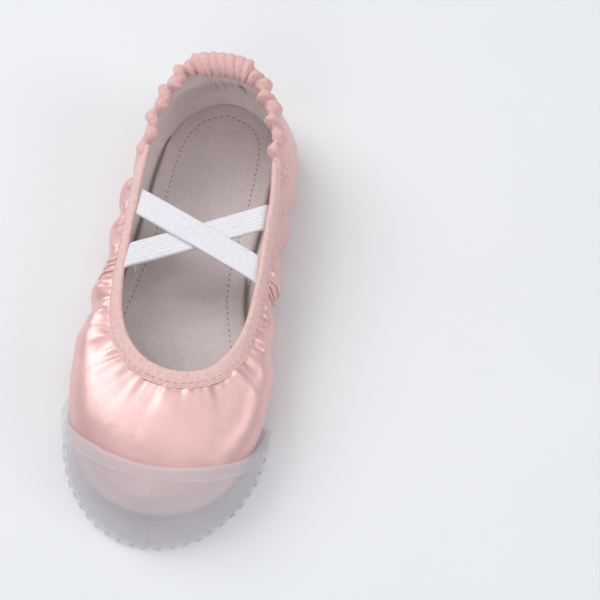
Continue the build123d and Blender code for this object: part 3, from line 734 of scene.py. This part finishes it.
def disc(z_of, edge, core, rings, name, mat, thick=0.0):
    pts = []
    for i in range(rings + 1):
        t = 1 - i / rings
        t = t ** 0.8
        xy = core + (edge - core) * t
        d = np.linalg.norm(edge - xy, axis=1)
        pts.append(np.column_stack([xy, z_of(xy, d)]))
    n = len(edge)
    allp = np.vstack(pts)
    fs = []
    for i in range(rings):
        for j in range(n):
            a, b = i * n + j, i * n + (j + 1) % n
            fs.append((a, b, b + n, a + n))
    uv = allp[:, :2].copy()
    if thick:
        base = len(allp)
        low = np.column_stack([edge, allp[:n, 2] - thick])
        allp = np.vstack([allp, low])
        for j in range(n):
            fs.append((j, base + j, base + (j + 1) % n, (j + 1) % n))
        uv = allp[:, :2].copy()
    return mesh_object(name, allp, fs, mat, uv=uv)


def sock_z(xy, d):
    z = Z_SOCK + 0.35 * np.exp(-d / 2.2) * 0 - 0.5 * step(d, 0, 14)
    z -= 0.16 * np.exp(-((d - 5.15) / 0.8) ** 2)                   # stitched channel
    z -= 0.7 * np.exp(-(d / 0.7) ** 2)                              # turned edge
    x, y = xy[:, 0], xy[:, 1]
    z += 0.10 * np.sin(x / 3.1 + 0.5 * np.sin(y / 7)) * np.sin(y / 8.7 + 1) + 0.05 * np.sin(y / 2.7 + x / 5)
    return z


sock = disc(sock_z, edge_ring, core, 64, "insole_sock_canvas", SOCK_MAT, thick=0.5)
soft(sock, "insole_sock")


def plate(name, edge, z0, z1, mat, bevel=0.35):
    """Flat closed plate with eased edges."""
    n = len(edge)
    loops = [(grow(edge, -bevel), z0), (edge, z0 + bevel), (edge, z1 - bevel), (grow(edge, -bevel), z1)]
    pts = [np.column_stack([e, np.full(n, z)]) for e, z in loops]
    inner = [core + (grow(edge, -bevel) - core) * t for t in (0.75, 0.4, 0.08)]
    topr = [np.column_stack([e, np.full(n, z1)]) for e in inner]
    botr = [np.column_stack([e, np.full(n, z0)]) for e in inner]
    rows = botr[::-1] + pts + topr
    allp = np.vstack(rows)
    fs = []
    for i in range(len(rows) - 1):
        for j in range(n):
            a, b = i * n + j, i * n + (j + 1) % n
            fs.append((a, b, b + n, a + n))
    return mesh_object(name, allp, fs, mat, uv=allp[:, :2])


def edge420(d):
    return resample(grow(SOCK, d), 420, True)


FOAM = canvas_material("foam_layer", srgb(226, 214, 196))
BOARD = canvas_material("board_layer", srgb(172, 146, 120))
ob = plate("insole_foam_layer", edge420(-0.9), Z_SOCK - 2.0, Z_SOCK - 1.3, FOAM, 0.2)
soft(ob, "insole_foam")
ob = plate("insole_board_layer", edge420(-1.1), 3.5, 4.5, BOARD, 0.2)
soft(ob, "insole_board")

# stitch holes along the channel: dark capsules of painted shade inside the holes
sl = resample(grow(SOCK, -5.4), 152, True)
bits = []
for i in range(152):
    a_, b_ = sl[i], sl[(i + 1) % 152]
    m_ = a_ + (b_ - a_) * np.linspace(-0.18, 0.22, 4)[:, None]
    zz = sock_z(m_, np.full(4, 5.15)) + 0.02
    bits.append(tube(np.column_stack([m_, zz]), [0.10, 0.27, 0.27, 0.10], 6, 0.7))
ob = many("sole_stitch_row", bits, PAINTED_SHADE)
soft(ob, "sole_stitches")
# dark tube of painted shadow in the gap where the sock meets the wall
ob = many("sock_edge_shadow_tape", [tube(np.column_stack([edge420(0.75), np.full(420, Z_SOCK - 0.55)]), 0.24, 7)], PAINTED_SHADE)
soft(ob)

# ------------------------------------------------------------------ outsole
sole = plate("outsole_suede", edge420(-3.2), 0.0, 1.5, SUEDE, 0.4)
soft(sole, "outsole")
bits = []
for i in range(0, 152):
    a_, b_ = sl[i], sl[(i + 1) % 152]
    m_ = a_ + (b_ - a_) * np.linspace(0.15, 0.85, 4)[:, None]
    bits.append(tube(np.column_stack([m_, np.full(4, 0.16)]), [0.08, 0.2, 0.2, 0.08], 6, 0.6))
ob = many("outsole_stitch_row", bits, COTTON_THREAD)
soft(ob)

# ------------------------------------------------------------------ heel seam tape with its stitch columns
r0 = 0
half = 9
idx = [i % len(KS) for i in range(-half, half + 1)]
g = LIN[idx][:, 1:40]
n_ = LN[idx][:, 1:40]
tape = g - n_ * 0.35
a = mesh_object("heel_seam_tape_cotton", tape.reshape(-1, 3), grid_faces(tape.shape[0], tape.shape[1], flip=True), CANVAS,
                uv=(UVG[idx][:, 1:40]).reshape(-1, 2))
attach(a, "heel"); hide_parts("heel_seam_tape")
bits = []
for off in (-7, -3, 3, 7):
    col = resample(tape[half + off] - n_[half + off] * 0.10, 90, False)
    for i in range(30, 84, 4):
        bits.append(tube(col[i:i + 3], [0.06, 0.13, 0.06], 6))
a = many("heel_tape_stitch_columns", bits, TAPE_STITCH)
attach(a, "heel")

# ------------------------------------------------------------------ crossed elastics
def strap(name, lat, med, z_end, z_mid, node):
    """Ribbed elastic from the lateral to the medial edge; made in two halves that meet at the crossing."""
    n, m = 90, 57
    u = np.linspace(0, 1, n)
    w = np.linspace(-0.5, 0.5, m)
    xl, xr = -23.6, 25.0
    out = []
    mid_v = (np.array(lat) + np.array(med)) / 2
    for i, t in enumerate(u):
        x = xl + (xr - xl) * t
        v0 = lat[0] + (med[0] - lat[0]) * t
        v1 = lat[1] + (med[1] - lat[1]) * t
        crown = math.sin(math.pi * t)
        z = z_end + (z_mid - z_end) * crown ** 0.8 - 4.5 * (math.exp(-(t / 0.028) ** 1.6) + math.exp(-((1 - t) / 0.028) ** 1.6))
        v = (v0 + v1) / 2 + (v1 - v0) * w
        z += (SLOPE * ((v0 + v1) / 2 - 104))
        ribz = 0.26 * np.abs(np.cos(7 * math.pi * (w + 0.5) + math.pi / 2)) ** 0.5
        curl = -0.35 * (2 * np.abs(w)) ** 6
        topz = z + 0.45 + ribz + curl
        botz = z - 0.45 - ribz + curl * 0.6
        xx = x + 0.0 * w
        out.append(np.vstack([np.column_stack([xx, v - V_MID, topz]), np.column_stack([xx[::-1], v[::-1] - V_MID, botz[::-1]])]))
    out = np.array(out)
    uvs = np.stack([np.repeat((u * 52)[:, None], 2 * m, 1), np.repeat(np.concatenate([w, w[::-1]])[None, :] * 10, n, 0)], 2)
    h = n // 2
    for part, rows_, uv_, start, end in (
            ("lateral_half", out[:h + 1], uvs[:h + 1], xl, (xl + xr) / 2),
            ("medial_half", out[h:], uvs[h:], xr, (xl + xr) / 2)):
        nn = len(rows_)
        fs = grid_faces(nn, 2 * m, wrap_m=True)
        ob = mesh_object(f"{name}_{part}", rows_.reshape(-1, 3), fs, ELASTIC, uv=uv_.reshape(-1, 2))
        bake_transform(ob)
        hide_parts(node)


SLOPE = 0.035
strap("strap_lower_elastic", (86.0, 95.6), (109.4, 119.6), 28.2, 27.6, "strap_lower")
strap("strap_upper_elastic", (109.0, 119.4), (86.6, 96.8), 28.6, 29.1, "strap_upper")

# ------------------------------------------------------------------ toe cover
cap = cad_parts["toe_cap"]
for slot_ in cap.material_slots:
    slot_.material = COVER
rows, uvs = band(JB + 2, NT + JA - 2, 4, [(2.7, 0.1), (2.2, 0.5), (1.6, 0.5), (1.1, 0.1), (1.6, -0.3), (2.2, -0.3)])
el = band_object("heel_elastic_cord", rows, uvs, ELASTIC)
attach(el, "heel"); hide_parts("heel_elastic")
hidden = {"strap_tacks": COTTON_THREAD}
for n, mat in hidden.items():
    for slot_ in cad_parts[n].material_slots:
        slot_.material = mat

# ------------------------------------------------------------------ floor, light, camera
bpy.ops.mesh.primitive_plane_add(size=6, location=(0, 0, -0.00005))
floor = bpy.context.object
floor.name = "floor"
fm = Mat("floor_pale", srgb(238, 241, 243), 0.6, Specular_IOR_Level=0.2)
fm.colour(fm.ramp(fm.noise(6, 3), [(0.3, srgb(237, 240, 242)), (0.7, srgb(240, 243, 245))]))
floor.data.materials.append(fm.m)

world = bpy.data.worlds.new("studio")
bpy.context.scene.world = world
world.use_nodes = True
world.node_tree.nodes["Background"].inputs[0].default_value = (0.95, 0.96, 1.0, 1)
world.node_tree.nodes["Background"].inputs[1].default_value = 0.385
bpy.context.scene.view_settings.view_transform = "Standard"
bpy.context.scene.view_settings.look = "None"


def area(name, pos, target, size, power, colour=(1, 1, 1)):
    l = bpy.data.lights.new(name, "AREA")
    l.shape, l.size, l.energy, l.color = "DISK", size, power, colour
    o = bpy.data.objects.new(name, l)
    o.location = pos
    o.rotation_euler = (Vector(target) - Vector(pos)).to_track_quat("-Z", "Y").to_euler()
    bpy.context.scene.collection.objects.link(o)


area("key", (-0.70, 0.45, 0.90), (0, 0, 0), 0.95, 7.5, (1.0, 0.99, 0.98))
area("fill", (-0.25, -0.9, 0.7), (0, 0, 0), 0.6, 1.7, (1.0, 0.98, 0.97))

area("top", (0.22, 0.05, 1.1), (0, 0, 0), 0.9, 1.9, (1.0, 0.99, 0.99))

area("right", (0.75, -0.05, 0.55), (0, 0, 0.02), 0.4, 1.3, (1.0, 0.98, 0.97))

cam_data = bpy.data.cameras.new("camera")
cam_data.lens, cam_data.sensor_width, cam_data.sensor_fit = 122.6, 36.0, "HORIZONTAL"
cam = bpy.data.objects.new("camera", cam_data)
bpy.context.scene.collection.objects.link(cam)
cam.location = (0.0877, -0.3325, 0.6272)
fwd = Vector((-0.0708, 0.4796, -0.8746)).normalized()
right = Vector((0.9893, 0.1461, 0.0)).normalized()
up = right.cross(fwd).normalized()
from mathutils import Matrix
rot = Matrix((right, up, -fwd)).transposed()
cam.rotation_euler = rot.to_euler()
bpy.context.scene.camera = cam
